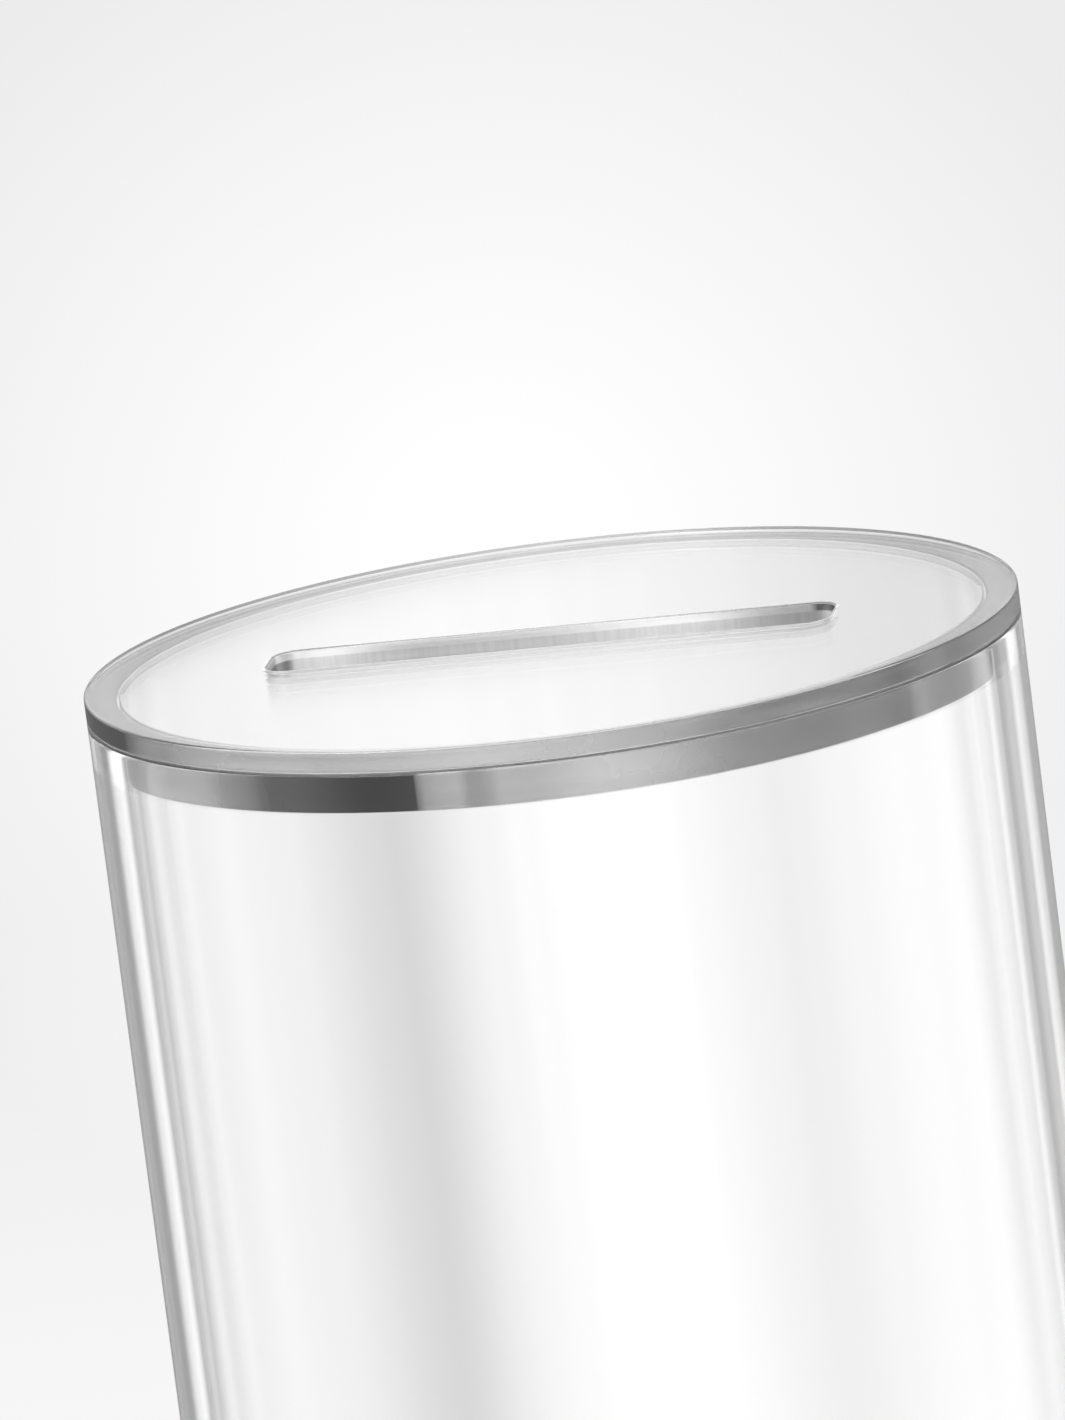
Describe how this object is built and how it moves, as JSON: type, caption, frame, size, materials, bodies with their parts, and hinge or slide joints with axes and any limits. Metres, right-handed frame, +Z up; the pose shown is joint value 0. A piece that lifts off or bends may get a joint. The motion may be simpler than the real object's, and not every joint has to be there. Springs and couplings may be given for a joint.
{
  "type": "donation box",
  "caption": "Clear acrylic donation box: an upright round tube with a glued base and a flat lift-off lid that has a long slot for coins and banknotes.",
  "frame": {"origin": "centre of the footprint, on the surface that the feet stand on", "axes": "+Z up along the tube's axis; the money slot runs along X, and -Y is the front"},
  "size_m": [0.13, 0.13, 0.2629],
  "materials": {
    "acrylic_tube": "clear cast acrylic tube, polished inside and outside",
    "acrylic_sheet": "clear cast acrylic sheet, glossy faces, laser-cut edges",
    "polyurethane_foot": "clear soft moulded polyurethane, satin"
  },
  "bodies": {
    "body": {"tube": "acrylic_tube", "base_plate": "acrylic_sheet", "base_disc": "acrylic_sheet", "foot_front_left": "polyurethane_foot", "foot_front_right": "polyurethane_foot", "foot_rear_left": "polyurethane_foot", "foot_rear_right": "polyurethane_foot"},
    "lid": {"lid_plate": "acrylic_sheet", "lid_plug": "acrylic_sheet"}
  },
  "joints": [
    {"name": "lid_lift", "type": "slide", "parent": "body", "child": "lid", "axis": [0, 0, 1], "range_m": [0, 0.06]}
  ]
}
